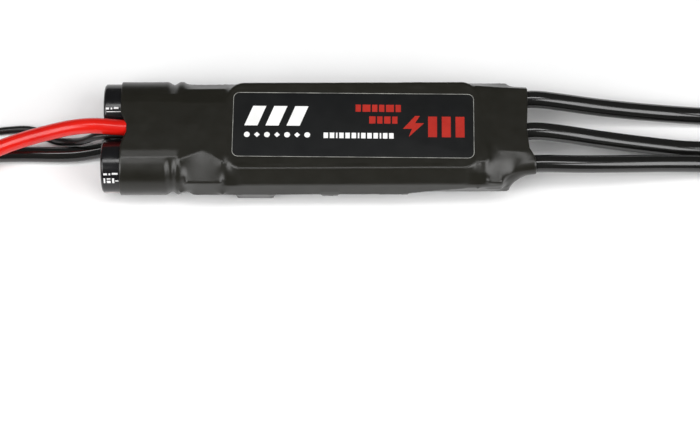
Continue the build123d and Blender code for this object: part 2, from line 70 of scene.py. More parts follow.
def surface(name, dark, light, roughness, grain, relief_grain, relief, stretch=(1, 1, 1), **shader_values):
    """Principled surface: colour and roughness drift over patches of grain, and relief is a fine bump.

    The grain, the grain of the relief and the relief's height are in millimetres.
    """
    material = bpy.data.materials.new(name)
    material.use_nodes = True
    tree = material.node_tree
    shader = tree.nodes["Principled BSDF"]
    coordinates = tree.nodes.new("ShaderNodeTexCoord").outputs["Object"]
    patches = noise_node(tree, coordinates, grain * MM, 5, stretch)

    ramp = tree.nodes.new("ShaderNodeValToRGB")
    ramp.color_ramp.elements[0].position = 0.35
    ramp.color_ramp.elements[0].color = dark
    ramp.color_ramp.elements[1].position = 0.65
    ramp.color_ramp.elements[1].color = light
    tree.links.new(patches, ramp.inputs["Fac"])
    tree.links.new(ramp.outputs["Color"], shader.inputs["Base Color"])

    spread = tree.nodes.new("ShaderNodeMapRange")
    spread.inputs["From Min"].default_value = 0.3
    spread.inputs["From Max"].default_value = 0.7
    spread.inputs["To Min"].default_value = roughness[0]
    spread.inputs["To Max"].default_value = roughness[1]
    smudges = noise_node(tree, coordinates, grain * MM * 0.37, 4, stretch)
    tree.links.new(smudges, spread.inputs["Value"])
    tree.links.new(spread.outputs["Result"], shader.inputs["Roughness"])

    bump = tree.nodes.new("ShaderNodeBump")
    bump.inputs["Distance"].default_value = relief * MM
    bump.inputs["Strength"].default_value = 1.0
    fine_grain = noise_node(tree, coordinates, relief_grain * MM, 3, stretch)
    tree.links.new(fine_grain, bump.inputs["Height"])
    tree.links.new(bump.outputs["Normal"], shader.inputs["Normal"])
    for socket, value in shader_values.items():
        shader.inputs[socket.replace("_", " ")].default_value = value
    return material


SLEEVE_FILM = surface("sleeve_film", srgb(24, 23, 17), srgb(27, 26, 20), (0.29, 0.35), 6, 0.5, 0.002,
                      Specular_IOR_Level=0.5)
LABEL_FILM = surface("label_film", srgb(17, 18, 19), srgb(20, 21, 21), (0.34, 0.42), 9, 0.3, 0.002,
                     Specular_IOR_Level=0.3)
WHITE_INK = surface("white_ink", srgb(240, 240, 238), srgb(250, 250, 249), (0.4, 0.5), 3, 0.2, 0.002)
RED_INK = surface("red_ink", srgb(166, 26, 12), srgb(178, 33, 17), (0.4, 0.5), 3, 0.2, 0.002)
# a light grey line round the label's edge
LABEL_EDGE_GREY = surface("label_edge", srgb(120, 120, 116), srgb(170, 170, 164), (0.3, 0.5), 2, 0.2, 0.002)
RED_SILICONE = surface("red_silicone", srgb(208, 18, 9), srgb(220, 26, 14), (0.20, 0.27), 8, 0.4,
                       0.001, Specular_IOR_Level=0.5)
BLACK_SILICONE = surface("black_silicone", srgb(17, 17, 16), srgb(20, 20, 18), (0.11, 0.17), 7, 0.4,
                         0.001, Specular_IOR_Level=0.8)
SIGNAL_SKIN = surface("signal_skin", srgb(17, 17, 17), srgb(24, 24, 23), (0.25, 0.35), 4, 0.3, 0.002)
JACKET_FILM = surface("capacitor_jacket", srgb(14, 14, 15), srgb(19, 19, 21), (0.16, 0.24), 5, 0.4,
                      0.002, Specular_IOR_Level=0.55)
JACKET_PRINT = surface("capacitor_print", srgb(226, 226, 226), srgb(240, 240, 240), (0.3, 0.4), 1, 0.2,
                       0.001)
JACKET_STRIPE = surface("capacitor_stripe", srgb(158, 150, 150), srgb(182, 172, 172), (0.3, 0.4), 1,
                        0.2, 0.001)
ALUMINIUM = surface("drawn_aluminium", srgb(196, 197, 199), srgb(222, 223, 225), (0.28, 0.42), 2, 0.12,
                    0.003, Metallic=1.0)
MILLED = surface("milled_aluminium", srgb(188, 190, 193), srgb(210, 212, 214), (0.30, 0.45), 3, 0.25,
                 0.004, stretch=(0.15, 1, 1), Metallic=1.0)
TINNED = surface("tinned_metal", srgb(190, 190, 188), srgb(225, 225, 222), (0.18, 0.36), 0.8, 0.2,
                 0.006, Metallic=1.0)
BRASS = surface("stamped_brass", srgb(205, 170, 90), srgb(226, 194, 116), (0.2, 0.35), 1, 0.1, 0.002,
                Metallic=1.0)
COPPER = surface("bare_copper", srgb(190, 116, 80), srgb(216, 144, 104), (0.3, 0.45), 1, 0.1, 0.002,
                 Metallic=1.0)
SOLDER_MASK = surface("solder_mask", srgb(8, 52, 30), srgb(14, 70, 42), (0.25, 0.4), 1.6, 0.3, 0.02)
EPOXY = surface("chip_epoxy", srgb(26, 26, 27), srgb(38, 38, 39), (0.5, 0.65), 0.5, 0.08, 0.004)
CERAMIC = surface("fired_ceramic", srgb(150, 118, 84), srgb(178, 146, 110), (0.45, 0.6), 0.8, 0.1, 0.004)
BUNG_RUBBER = surface("bung_rubber", srgb(28, 28, 28), srgb(40, 40, 40), (0.6, 0.75), 1, 0.15, 0.01)
WINDING = surface("foil_and_paper", srgb(170, 158, 134), srgb(208, 198, 176), (0.5, 0.7), 1, 0.2, 0.01,
                  stretch=(0.2, 1, 1))
PAD_RUBBER = surface("pad_rubber", srgb(120, 148, 176), srgb(142, 168, 194), (0.6, 0.8), 2, 0.2, 0.01)
CORE_PLASTIC = surface("core_insulation", srgb(188, 188, 184), srgb(212, 212, 208), (0.35, 0.5), 1,
                       0.2, 0.002)
TIE_NYLON = surface("tie_nylon", srgb(20, 20, 20), srgb(30, 30, 30), (0.38, 0.5), 1.5, 0.12, 0.004)
PLUG_PLASTIC = surface("plug_plastic", srgb(22, 22, 23), srgb(32, 32, 33), (0.4, 0.55), 1.2, 0.1, 0.005)
FLOOR_PAPER = surface("pale_floor", srgb(246, 246, 246), srgb(250, 250, 250), (0.6, 0.8), 30, 1, 0.01,
                      Specular_IOR_Level=0.1)

CAD_FINISH = (
    (MILLED, ("heat_sink_plate",)),
    (PAD_RUBBER, ("thermal_pad", "insulating_pad")),
    (SOLDER_MASK, ("circuit_board",)),
    (COPPER, ("copper_pads",)),
    (EPOXY, ("power_mosfets_upper", "power_mosfets_lower", "microcontroller", "gate_drivers",
             "voltage_regulator", "chip_resistors")),
    (CERAMIC, ("edge_chip_capacitor", "ceramic_capacitors")),
    (TINNED, ("microcontroller_pins", "current_shunt", "battery_lead_conductors",
              "motor_lead_conductors", "solder_joints", "capacitor_wires_front", "capacitor_wires_rear")),
    (CORE_PLASTIC, ("signal_lead_cores", "signal_plug_cores")),
    (BRASS, ("signal_plug_contacts",)),
    (ALUMINIUM, ("capacitor_can_front", "capacitor_can_rear")),
    (BUNG_RUBBER, ("capacitor_bung_front", "capacitor_bung_rear")),
    (WINDING, ("capacitor_winding_front", "capacitor_winding_rear")),
)
for material, nodes in CAD_FINISH:
    for node in nodes:
        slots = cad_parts[node].data.materials
        slots.clear()
        slots.append(material)


# ---------------------------------------------------------------- camera, floor and light
CAMERA_TARGET = Vector((6.4, -17.85, 5.65)) * MM
CAMERA_DISTANCE = 434 * MM
CAMERA_ELEVATION = math.radians(67.1)
CAMERA_ROLL = math.radians(-0.23)
CAMERA_LENS = 118.3

camera = bpy.data.objects.new("camera", bpy.data.cameras.new("camera"))
scene.collection.objects.link(camera)
scene.camera = camera
camera.data.lens = CAMERA_LENS
camera.data.sensor_width = 36
camera.data.clip_start = 0.01
camera.data.clip_end = 10
to_camera = Vector((0, -math.cos(CAMERA_ELEVATION), math.sin(CAMERA_ELEVATION)))
camera.matrix_world = (
    Matrix.Translation(CAMERA_TARGET + CAMERA_DISTANCE * to_camera)
    @ to_camera.to_track_quat("Z", "Y").to_matrix().to_4x4()
    @ Matrix.Rotation(CAMERA_ROLL, 4, "Z")
)

FLOOR_SIZE = 3.0
floor_mesh = bpy.data.meshes.new("floor")
half = FLOOR_SIZE / 2
floor_mesh.from_pydata([(-half, -half, 0), (half, -half, 0), (half, half, 0), (-half, half, 0)], [],
                       [(0, 1, 2, 3)])
floor = bpy.data.objects.new("floor", floor_mesh)
scene.collection.objects.link(floor)
floor_mesh.materials.append(FLOOR_PAPER)


def area_light(name, elevation, azimuth, distance, size, radiance):
    """A soft box that faces the object. Azimuth 0 is behind it, at +Y, and 180 is in front."""
    light = bpy.data.lights.new(name, "AREA")
    light.shape = "RECTANGLE"
    light.size, light.size_y = size
    light.energy = radiance * math.pi * size[0] * size[1]
    holder = bpy.data.objects.new(name, light)
    scene.collection.objects.link(holder)
    flat = math.cos(math.radians(elevation))
    way = Vector((
        math.sin(math.radians(azimuth)) * flat,
        math.cos(math.radians(azimuth)) * flat,
        math.sin(math.radians(elevation)),
    ))
    holder.location = way * distance
    holder.rotation_euler = way.to_track_quat("Z", "Y").to_euler()
    return holder


area_light("overhead_strip", 88, 180, 1.0, (0.80, 0.20), 5.5)
area_light("left_box", 42, -118, 1.0, (0.70, 0.70), 4.4)
area_light("right_box", 42, 118, 1.0, (0.70, 0.70), 4.4)

# the rest of the studio is dim
world = bpy.data.worlds.new("studio")
scene.world = world
world.use_nodes = True
world.node_tree.nodes["Background"].inputs["Color"].default_value = (1, 1, 1, 1)
world.node_tree.nodes["Background"].inputs["Strength"].default_value = 0.10
scene.view_settings.view_transform = "Standard"


# ---------------------------------------------------------------- leads
SLEEVE_LOW, SLEEVE_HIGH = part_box("heat_shrink_sleeve")
BATTERY_MOUTH = SLEEVE_LOW.x
MOTOR_MOUTH = SLEEVE_HIGH.x
BATTERY_LEAD = 3.0 * MM
MOTOR_LEAD = 3.4 * MM
SIGNAL_LEAD = 1.5 * MM

ROUTES = {
    "battery_lead_red": [
        (-0.0224, 0.0003, 0.0098), (-0.029, 0.0003, 0.0098), (-0.0362, 0.00033, 0.00984),
        (-0.0438, 0.00045, 0.0114), (-0.0532, -0.0002, 0.0081), (-0.062, -0.0019, 0.0052),
        (-0.0705, -0.0058, 0.0015), (-0.083, -0.007, 0.0015), (-0.099, -0.0062, 0.0015),
        (-0.115, -0.007, 0.0015), (-0.129, -0.007, 0.0015),
    ],
    "battery_lead_black": [
        (-0.0224, 0, 0.00195), (-0.03, 0.0001, 0.0019), (-0.039, 0.00005, 0.00195),
        (-0.0434, -0.0008, 0.0015), (-0.0482, -0.00145, 0.0015), (-0.058, -0.0011, 0.0015),
        (-0.072, -0.0017, 0.0015), (-0.088, -0.0028, 0.0015), (-0.105, -0.0023, 0.0015),
        (-0.121, -0.003, 0.0015), (-0.134, -0.003, 0.0015),
    ],
    "signal_lead": [
        (-0.023, 0, 0.00748), (-0.029, 0, 0.00748), (-0.0355, 0.00002, 0.0075), (-0.0417, 0, 0.00755),
        (-0.0448, 0.0002, 0.0043), (-0.0478, 0.0012, 0.0018), (-0.0514, 0.0019, 0.00075),
        (-0.0548, 0.0046, 0.00075), (-0.061, 0.0042, 0.00075), (-0.0654, 0.0034, 0.00075),
        (-0.068, 0.00255, 0.00075), (-0.0705, 0.00255, 0.00075),
    ],
    "motor_lead_a": [
        (0.0346, 0.0068, 0.0074), (0.0376, 0.0068, 0.0074), (0.0415, 0.00725, 0.0078),
        (0.0473, 0.00695, 0.0067), (0.054, 0.0066, 0.0052), (0.0625, 0.00635, 0.0036),
        (0.0735, 0.0063, 0.0017), (0.088, 0.0054, 0.0017), (0.103, 0.0056, 0.0017),
        (0.117, 0.0056, 0.0017),
    ],
    "motor_lead_b": [
        (0.0346, 0, 0.0074), (0.0376, 0, 0.0074), (0.0415, 0.00055, 0.0078), (0.0473, 0.00025, 0.0068),
        (0.054, -0.0002, 0.0052), (0.0625, -0.0007, 0.0036), (0.0735, -0.0012, 0.0017),
        (0.088, -0.0006, 0.0017), (0.104, -0.0011, 0.0017), (0.119, -0.0011, 0.0017),
    ],
    "motor_lead_c": [
        (0.0346, -0.0068, 0.0074), (0.0376, -0.0068, 0.0074), (0.042, -0.0064, 0.0079),
        (0.049, -0.0064, 0.0073), (0.0575, -0.0059, 0.0062), (0.0665, -0.00515, 0.0048),
        (0.0765, -0.0046, 0.0033), (0.0885, -0.0056, 0.0017), (0.101, -0.0066, 0.0017),
        (0.115, -0.0066, 0.0017),
    ],
}

# The hank of the signal lead: runs through the tie, with folds at both ends
HANK_LOW, HANK_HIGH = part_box("signal_lead_hank")
PLUG_LOW, PLUG_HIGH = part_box("signal_plug_housing")
PLUG_Y = (PLUG_LOW.y + PLUG_HIGH.y) / 2
PLUG_Z = (PLUG_LOW.z + PLUG_HIGH.z) / 2
TIE_LOW, TIE_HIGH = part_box("hank_tie")
TIE_X = (TIE_LOW.x + TIE_HIGH.x) / 2
HANK_Y = (HANK_LOW.y + HANK_HIGH.y) / 2
ROW_1 = SIGNAL_LEAD / 2
ROW_2 = SIGNAL_LEAD * 1.5
TIE_WALL = 0.4 * MM
OUTER_RUN = HANK_LOW.y + SIGNAL_LEAD / 2
FRONT_RUN = OUTER_RUN + SIGNAL_LEAD
BACK_RUN = HANK_HIGH.y - SIGNAL_LEAD / 2
FOLD = (BACK_RUN - FRONT_RUN) / 2
FOLD_STEPS = 8
FOLD_BULGE = 1.04

# Each run: its side, its row, and the column and row that it takes in the tie
HANK_RUNS = [
    (FRONT_RUN, ROW_1, 0, ROW_1),
    (BACK_RUN, ROW_1, 1, ROW_1),
    (FRONT_RUN, ROW_2, 0, ROW_2),
    (BACK_RUN, ROW_2, 1, ROW_2),
    (OUTER_RUN, ROW_1, -1, ROW_1),
]


def hank_points():
    """Control points of the hank, run by run, with a fold of even steps between two runs."""
    points = []
    for number, (run_y, run_z, column, tie_row) in enumerate(HANK_RUNS):
        way = -1 if number % 2 == 0 else 1
        tie_y = HANK_Y + column * SIGNAL_LEAD
        reach = HANK_HIGH.x - SIGNAL_LEAD / 2 - FOLD - TIE_X
        for share in (-1.0, -0.72, -0.3, 0.0, 0.3, 0.72, 1.0):
            # 1 in the tie, and down to 0 towards the folds
            pull = 1 - min(1, max(0, (abs(share) - 0.12) / 0.6)) ** 1.5
            points.append((
                TIE_X + way * share * reach,
                run_y + (tie_y - run_y) * pull,
                run_z + (tie_row + TIE_WALL - run_z) * pull,
            ))
        if number == len(HANK_RUNS) - 1:
            break
        next_y, next_z = HANK_RUNS[number + 1][:2]
        centre_y, radius = (run_y + next_y) / 2, abs(next_y - run_y) / 2
        start_side = math.copysign(1, run_y - next_y)
        for step in range(1, FOLD_STEPS):
            angle = math.pi * step / FOLD_STEPS
            rise = 0.5 - 0.5 * math.cos(angle)
            points.append((
                TIE_X + way * (reach + FOLD_BULGE * FOLD * math.sin(angle)),
                centre_y + start_side * FOLD_BULGE * radius * math.cos(angle),
                run_z + (next_z - run_z) * rise,
            ))
    return points


PLUG_END = [
    (HANK_LOW.x + 1.5 * MM, OUTER_RUN, ROW_1),
    (HANK_LOW.x - 1.0 * MM, OUTER_RUN + 0.2 * MM, ROW_1 + 0.1 * MM),
    (HANK_LOW.x - 3.2 * MM, PLUG_Y - 0.3 * MM, PLUG_Z),
    (HANK_LOW.x - 5.0 * MM, PLUG_Y, PLUG_Z),
]
ROUTES["signal_lead"] = ROUTES["signal_lead"] + hank_points() + PLUG_END


def lead(name, points, diameter, material):
    """A round lead along one smooth line."""
    curve = bpy.data.curves.new(name, "CURVE")
    curve.dimensions = "3D"
    spline = curve.splines.new("NURBS")
    spline.points.add(len(points) - 1)
    for place, point in zip(spline.points, points):
        place.co = (*point, 1)
    spline.order_u = 3
    spline.use_endpoint_u = True
    spline.resolution_u = 16
    curve.bevel_depth = diameter / 2
    curve.bevel_resolution = 8
    curve.use_fill_caps = True
    curve.materials.append(material)
    piece = bpy.data.objects.new(name, curve)
    scene.collection.objects.link(piece)
    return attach(piece, "root")


red_lead = lead("lead_battery_red", ROUTES["battery_lead_red"], BATTERY_LEAD, RED_SILICONE)
black_lead = lead("lead_battery_black", ROUTES["battery_lead_black"], BATTERY_LEAD, BLACK_SILICONE)
signal_lead = lead("lead_signal", ROUTES["signal_lead"], SIGNAL_LEAD, SIGNAL_SKIN)
motor_leads = {
    letter: lead(f"lead_motor_{letter}", ROUTES[f"motor_lead_{letter}"], MOTOR_LEAD, BLACK_SILICONE)
    for letter in "abc"
}
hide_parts("battery_lead_red")
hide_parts("battery_lead_black")
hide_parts("signal_lead", "signal_lead_hank")
for letter in "abc":
    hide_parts(f"motor_lead_{letter}")


# ---------------------------------------------------------------- meshes
def add_piece(name, vertices, faces, material, sharp=40, replaces=()):
    """A mesh piece that rides on the body, with edges sharper than the given angle kept crisp."""
    mesh = bpy.data.meshes.new(name)
    mesh.from_pydata([tuple(map(float, v)) for v in vertices], [], [tuple(map(int, f)) for f in faces])
    mesh.validate()
    mesh.shade_smooth()
    mesh.set_sharp_from_angle(angle=math.radians(sharp))
    mesh.materials.append(material)
    piece = bpy.data.objects.new(name, mesh)
    scene.collection.objects.link(piece)
    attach(piece, "root")
    if replaces:
        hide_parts(*replaces)
    return piece


def grid_faces(rows, columns, wrap, start=0, flip=False):
    """Quads over rows of points, closed round each row if wrap is set."""
    faces = []
    for row in range(rows - 1):
        for column in range(columns if wrap else columns - 1):
            beside = (column + 1) % columns
            quad = [
                start + row * columns + column, start + row * columns + beside,
                start + (row + 1) * columns + beside, start + (row + 1) * columns + column,
            ]
            faces.append(quad[::-1] if flip else quad)
    return faces


def ring_faces(rows, columns):
    """Quads over closed rows of points, with the last row joined to the first."""
    last = (rows - 1) * columns
    return grid_faces(rows, columns, True) + [
        (last + j, last + (j + 1) % columns, (j + 1) % columns, j) for j in range(columns)
    ]


# ---------------------------------------------------------------- sleeve
# The film's wall, the length round it and the height of its middle
WALL = 0.4 * MM
GIRTH = 56 * MM
MID_HEIGHT = 6 * MM

# Coarse to fine nets of the film: its rings, the points round each and the rounds of relaxing
LEVELS = [(60, 56, 500), (120, 112, 350), (240, 224, 300)]
AROUND = LEVELS[-1][1]

# How far a point moves in a round towards the middle of its neighbours, and the share of that along X
HOOP_PULL = 0.47
LENGTH_TENSION = 0.35


def route_at(x, points):
    """Where a lead's route is at each x."""
    ordered = np.array(sorted(points))
    return np.interp(x, ordered[:, 0], ordered[:, 1]), np.interp(x, ordered[:, 0], ordered[:, 2])


JACKETS = {side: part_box(f"capacitor_jacket_{side}") for side in ("front", "rear")}
GROOVE_AT = 13.3 * MM
GROOVE_HALF = 0.8 * MM
GROOVE_DEPTH = 0.55 * MM
FILM_GROOVE_HALF = 1.25 * MM
SINK_LOW, SINK_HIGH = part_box("heat_sink_plate")
CHIP_LOW, CHIP_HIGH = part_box("edge_chip_capacitor")


class Former:
    """A convex thing inside the film, over a range of X: it pushes points out of its section."""

    def __init__(self, x, x_from, x_to):
        touched = np.nonzero(((x >= x_from) & (x <= x_to)).any(axis=1))[0]
        self.rows = slice(touched[0], touched[-1] + 1) if len(touched) else slice(0, 0)
        self.x = x[self.rows]
        self.inside = (self.x >= x_from) & (self.x <= x_to)


class RoundFormer(Former):
    """A lead or a capacitor."""

    def __init__(self, x, x_from, x_to, centre_y, centre_z, radius):
        super().__init__(x, x_from, x_to)
        self.centre = [np.broadcast_to(c, x.shape)[self.rows] for c in (centre_y, centre_z)]
        self.reach = np.broadcast_to(radius, x.shape)[self.rows] + WALL

    def push(self, y, z):
        off_y, off_z = y - self.centre[0], z - self.centre[1]
        distance = np.maximum(np.hypot(off_y, off_z), 1e-9)
        depth = np.where(self.inside, self.reach - distance, 0).clip(0, None)
        return depth * off_y / distance, depth * off_z / distance


class FlatFormer(Former):
    """A section with flat sides, each given by its tilt in degrees from the top and a point on it."""

    def __init__(self, x, x_from, x_to, sides, plan_corner=0.0, gable=None):
        super().__init__(x, x_from, x_to)
        self.gable, self.middle, self.half_length = gable, (x_from + x_to) / 2, (x_to - x_from) / 2
        bite = 0.0
        if plan_corner:
            from_end = np.minimum(self.x - x_from, x_to - self.x).clip(0, plan_corner)
            bite = plan_corner - np.sqrt(plan_corner**2 - (plan_corner - from_end) ** 2)
        self.sides = []
        for tilt, (point_y, point_z) in sides:
            if callable(point_z):
                point_z = point_z(self.x)
            way_y, way_z = math.sin(math.radians(tilt)), math.cos(math.radians(tilt))
            distance = (way_y * point_y + way_z * point_z) * MM
            self.sides.append((way_y, way_z, distance - bite * abs(way_y)))

    def push(self, y, z):
        height = np.stack([way_y * y + way_z * z - d for way_y, way_z, d in self.sides])
        nearest = height.argmax(axis=0)
        inside = self.inside
        if self.gable:
            # in plan a triangle that widens from its tip at the first Y to its foot at the second
            tip, foot = self.gable
            share = ((y - tip * MM) / ((foot - tip) * MM)).clip(0, 1)
            inside = inside & (np.abs(self.x - self.middle) <= self.half_length * share)
        depth = np.where(inside, -height.max(axis=0), 0).clip(0, None)
        return (depth * np.array([side[0] for side in self.sides])[nearest],
                depth * np.array([side[1] for side in self.sides])[nearest])


def walls(front, back):
    """Upright sides of a section at two Y, in millimetres."""
    return [(90, (back, 0)), (-90, (front, 0))]


def along(*places):
    """A height that changes with X, from pairs of X and height in millimetres."""
    stations, heights = zip(*places)
    return lambda x: np.interp(x, np.array(stations) * MM, heights)


# How far the film covers the two capacitors, from their closed ends
COVERED = {"front": 15.0 * MM, "rear": 15.6 * MM}

# From there the film narrows towards what is behind the capacitor, at this slope
RIM_LENGTH = 0.9 * MM
RIM_TAPER = 1.4 * MM
RIM_SLOPE = 0.75

# How much thinner the film's form is than a power lead, which dents the film from inside
LEAD_DENT = 0.2 * MM


def film_formers(x):
    """Everything that the film is shrunk onto, by the outside that the film has there."""
    formers = []

    def flat(x_from, x_to, low, high, sides, plan_corner=0.0, gable=None):
        sides = [(0, (0, high)), (180, (0, low)), *sides]
        formers.append(FlatFormer(x, x_from, x_to, sides, plan_corner, gable))

    for side, (low, high) in JACKETS.items():
        end = low.x + COVERED[side] + RIM_LENGTH
        off_groove = np.abs(x - (low.x + GROOVE_AT)) / FILM_GROOVE_HALF
        groove = GROOVE_DEPTH * (0.5 + 0.5 * np.cos(math.pi * off_groove.clip(0, 1)))
        rim = RIM_SLOPE * (RIM_TAPER - (end - x)).clip(0, RIM_TAPER)
        radius = (high.z - low.z) / 2 - groove - rim
        formers.append(RoundFormer(x, low.x, end, (low.y + high.y) / 2, (low.z + high.z) / 2, radius))
    for name in ("battery_lead_red", "battery_lead_black"):
        lead_y, lead_z = route_at(x, ROUTES[name])
        formers.append(RoundFormer(x, -1, -22.4 * MM, lead_y, lead_z, BATTERY_LEAD / 2 - LEAD_DENT))
    for letter in "abc":
        lead_y, lead_z = route_at(x, ROUTES[f"motor_lead_{letter}"])
        formers.append(RoundFormer(x, 35.4 * MM, 1, lead_y, lead_z, MOTOR_LEAD / 2))

    # over the heat sink plate, with the film's slope from its top edges to the widest parts
    front_foot = along((16, 5.2), (20, 5.9), (26, 6.9), (30, 7.5))
    flat(SINK_LOW.x - 0.3 * MM, SINK_HIGH.x + 0.3 * MM, 0.2, 11.4, [
        (65, (9.05, 11.4)), (85, (10.7, 7.7)), (125, (10.9, 4.0)),
        (-52, (-8.96, 11.4)), (-82, (-11.1, 8.6)), (-130, (-11.45, front_foot)),
    ], 3.0 * MM)

    # the board and the edges of what is on it, from the capacitors' open ends to the motor leads
    board_from, board_to = -24.4 * MM, 37.0 * MM
    low_front = along((16, 5.0), (20, 5.8), (26, 6.8), (30, 7.4), (37, 7.9))
    flat(board_from, board_to, 3.2, 5.6, walls(-10.25, 10.25), 0.8 * MM)
    flat(board_from, board_to, low_front, 8.6, [(90, (0, 0)), (-82, (-11.1, 8.6))], 1.6 * MM)
    flat(board_from, board_to, 3.4, 8.2, walls(0, 10.4), 0.8 * MM)

    # over the ends of the battery leads, and the facet between there and the board's front edge
    flat(-1, -26.0 * MM, 9, 11.45, [(8, (5.2, 11.45)), (-8, (-4.9, 11.45)), *walls(-6.6, 7)])
    over_neck = along((-26, 11.45), (-17.5, 11.4))
    beside_facet = along((-26, 13.8), (-21.3, 11.4), (-17.5, 14.2))
    flat(-26.0 * MM, -17.5 * MM, 6, over_neck, [
        (14, (5.0, over_neck)), (55, (8.5, 10.2)), (-48, (-5.1, beside_facet))])
    flat(-24.9 * MM, -17.7 * MM, 6, over_neck, [
        (90, (0, 0)), (-15.5, (-5.0, over_neck)), (-90, (-11.1, 0))], gable=(-4.8, -11.1))

    # over the ends of the motor leads, a shoulder beside the plate, and a narrow facet in front
    over_leads = along((30.4, 11.35), (34, 10.75), (41, 9.95))
    flat(27.0 * MM, 32.6 * MM, 7.5, 11.3, [
        (90, (-4, 0)), (-30, (-7.6, 11.3)), (-58, (-9.6, 10.1)), (-82, (-11.1, 8.6))], 0.8 * MM)
    beside_facet = along((30.4, 14.7), (33.9, 10.75), (37, 10.5), (41, 9.95))
    flat(30.4 * MM, 1, 7, over_leads, [(60, (8.3, over_leads)), (-48, (-5.1, beside_facet))])
    flat(32.5 * MM, 35.3 * MM, 6, over_leads, [
        (90, (0, 0)), (-14, (-5.0, over_leads)), (-90, (-11.1, 0))], gable=(-4.9, -11.1))
    flat(33.0 * MM, 1, 7.4, 8.9, walls(6, 9.2))

    # the large chip capacitor and two small parts under the board's front edge
    flat(CHIP_LOW.x - 0.6 * MM, CHIP_HIGH.x + 0.6 * MM, 1.6, 5, walls(-10.8, -9))
    flat(0.9 * MM, 4.2 * MM, 4.2, 6.4, walls(-11.5, -9))
    flat(11.9 * MM, 17.4 * MM, 4.4, 6.0, walls(-11.4, -9))
    return formers


def starting_rings(x_stations, around):
    """Each ring as a rounded box a little larger than what is in it, its points evenly spaced."""
    rings = []
    for x in x_stations:
        half_y = float(np.interp(x, [36 * MM, 42 * MM], [12.0 * MM, 10.0 * MM]))
        low = float(np.interp(x, [34 * MM, 42 * MM], [-0.1 * MM, 4.2 * MM]))
        high, corner = 12.1 * MM, 3.4 * MM
        outline = []
        for quarter, (cy, cz) in enumerate((
            (half_y - corner, high - corner), (-half_y + corner, high - corner),
            (-half_y + corner, low + corner), (half_y - corner, low + corner),
        )):
            for angle in np.linspace(quarter * math.pi / 2, (quarter + 1) * math.pi / 2, 24):
                outline.append((cy + corner * math.cos(angle), cz + corner * math.sin(angle)))
        outline = np.array(outline + outline[:1])
        lengths = np.r_[0, np.cumsum(np.hypot(*np.diff(outline, axis=0).T))]
        even = np.linspace(0, lengths[-1], around, endpoint=False)
        rings.append(np.stack([np.interp(even, lengths, outline[:, k]) for k in (0, 1)], 1))
    return np.array(rings)


def refined(values, stations, around):
    """The same rings on a finer grid."""
    rows = np.linspace(0, 1, len(values))
    finer = np.array([np.interp(np.linspace(0, 1, stations), rows, column) for column in values.T]).T
    closed = np.concatenate([finer, finer[:, :1]], axis=1)
    places = np.linspace(0, 1, closed.shape[1])
    return np.array([np.interp(np.linspace(0, 1, around, endpoint=False), places, row) for row in closed])


# How far the cut edges stand off the two mouths, by the angle round the sleeve: 0 at +Y, 90 on top
BATTERY_EDGE = ([0, 60, 84, 100, 125, 180, 240, 360], [-0.5, -0.3, 0.8, 0.9, -0.2, -0.5, -0.5, -0.5])
MOTOR_EDGE = (
    [0, 30, 90, 136, 148, 168, 180, 191, 205, 225, 315, 340, 360],
    [-0.4, -0.25, -0.6, -0.2, 0.9, 1.1, 0.7, -0.3, -1.6, -2.8, -2.8, -1.0, -0.4],
)
EDGE_BLEND = 9 * MM

# How the film gives way over a groove of a capacitor: over what length, and by what share
GIVE_LENGTH = 1.6 * MM
GIVE = 0.85


def with_cut_edges(x_stations, y, z):
    """The X of every point: its station, moved near the mouths to follow the cut edges."""
    angle = np.degrees(np.arctan2(z - MID_HEIGHT, y)) % 360
    near_battery = (1 - (x_stations - BATTERY_MOUTH) / EDGE_BLEND).clip(0, 1)[:, None]
    near_motor = (1 - (MOTOR_MOUTH - x_stations) / EDGE_BLEND).clip(0, 1)[:, None]
    return (
        x_stations[:, None]
        + near_battery * np.interp(angle, *BATTERY_EDGE) * MM
        + near_motor * np.interp(angle, *MOTOR_EDGE) * MM
    )


def relaxed_sleeve():
    """Rings of the shrunk film: pulled tight like a skin, and pushed out by what is inside."""
    for level, (stations, around, rounds) in enumerate(LEVELS):
        x_stations = np.linspace(BATTERY_MOUTH, MOTOR_MOUTH, stations)
        if level:
            y, z = refined(y, stations, around), refined(z, stations, around)
        else:
            y, z = np.moveaxis(starting_rings(x_stations, around), 2, 0)
        # the film gives way along its length over the capacitors' grooves
        give = sum(
            np.exp(-(((x_stations - low.x - GROOVE_AT) / GIVE_LENGTH) ** 2))
            for low, _ in JACKETS.values()
        )
        spacing = (MOTOR_MOUTH - BATTERY_MOUTH) / stations
        ring_spacing = GIRTH / around
        length_pull = HOOP_PULL * LENGTH_TENSION * (ring_spacing / spacing) ** 2
        length_pull = (length_pull * (1 - GIVE * give.clip(0, 1)))[1:-1, None]
        for _ in range(2):
            x = with_cut_edges(x_stations, y, z)
            formers = film_formers(x)
            for _ in range(rounds // 2):
                hoop = [(np.roll(v, 1, 1) + np.roll(v, -1, 1)) / 2 - v for v in (y, z)]
                long_y = (y[:-2] + y[2:]) / 2 - y[1:-1]
                long_z = (z[:-2] + z[2:]) / 2 - z[1:-1]
                y, z = y + HOOP_PULL * hoop[0], z + HOOP_PULL * hoop[1]
                y[1:-1] += length_pull * long_y
                z[1:-1] += length_pull * long_z
                for former in formers:
                    step_y, step_z = former.push(y[former.rows], z[former.rows])
                    y[former.rows] += step_y
                    z[former.rows] += step_z
                z = np.maximum(z, 0.03 * MM)
    return x, y, z


def grid_normals(points):
    """Outward normals of rings of points."""
    from_ring_to_ring = np.gradient(points, axis=0)
    round_ring = np.roll(points, -1, 1) - np.roll(points, 1, 1)
    normals = np.cross(round_ring, from_ring_to_ring)
    normals /= np.linalg.norm(normals, axis=2, keepdims=True)
    centre = points.mean(axis=1, keepdims=True)
    outward = np.sum(normals * (points - centre), axis=2, keepdims=True)
    return normals * np.sign(outward)


